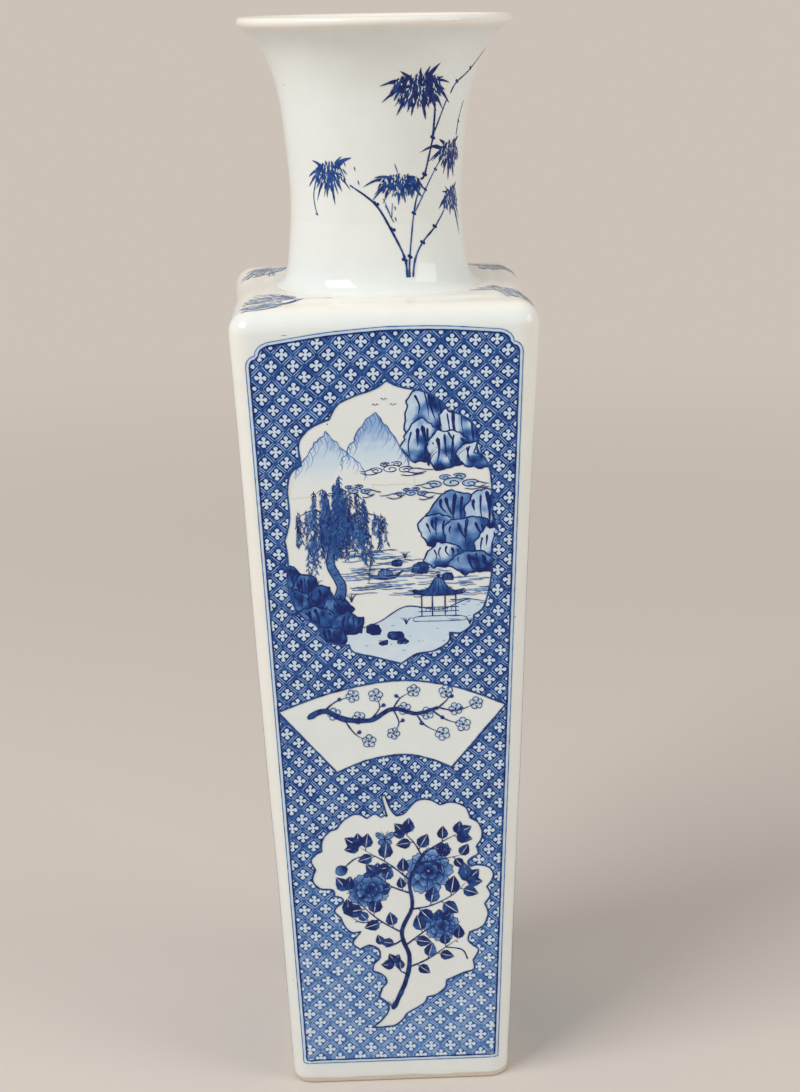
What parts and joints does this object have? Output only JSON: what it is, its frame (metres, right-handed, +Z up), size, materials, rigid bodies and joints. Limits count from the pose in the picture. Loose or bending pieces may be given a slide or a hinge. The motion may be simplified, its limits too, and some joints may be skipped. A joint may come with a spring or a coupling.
{
  "type": "square mallet vase",
  "caption": "Tall square porcelain floor vase with tapered slab walls, flat shoulder and flared trumpet neck, blue and white decoration.",
  "frame": {"origin": "middle of the foot, on the plane that the foot rim stands on", "axes": "+Z up along the vase's axis; the face painted as the front looks towards -Y"},
  "size_m": [0.155, 0.155, 0.58],
  "materials": {
    "painted_porcelain": "clear gloss glaze over cobalt blue painting",
    "white_porcelain": "clear gloss glaze, faintly green-blue white",
    "bare_porcelain": "unglazed matt fired clay"
  },
  "bodies": {
    "root": {"front_wall": "painted_porcelain", "right_wall": "painted_porcelain", "back_wall": "painted_porcelain", "left_wall": "painted_porcelain", "shoulder": "white_porcelain", "neck_lower": "white_porcelain", "neck_mouth": "white_porcelain", "base": "bare_porcelain", "front_left_inner_seam": "bare_porcelain", "front_right_inner_seam": "bare_porcelain", "back_left_inner_seam": "bare_porcelain", "back_right_inner_seam": "bare_porcelain", "base_inner_seam": "bare_porcelain", "shoulder_inner_seam": "bare_porcelain"}
  },
  "joints": []
}
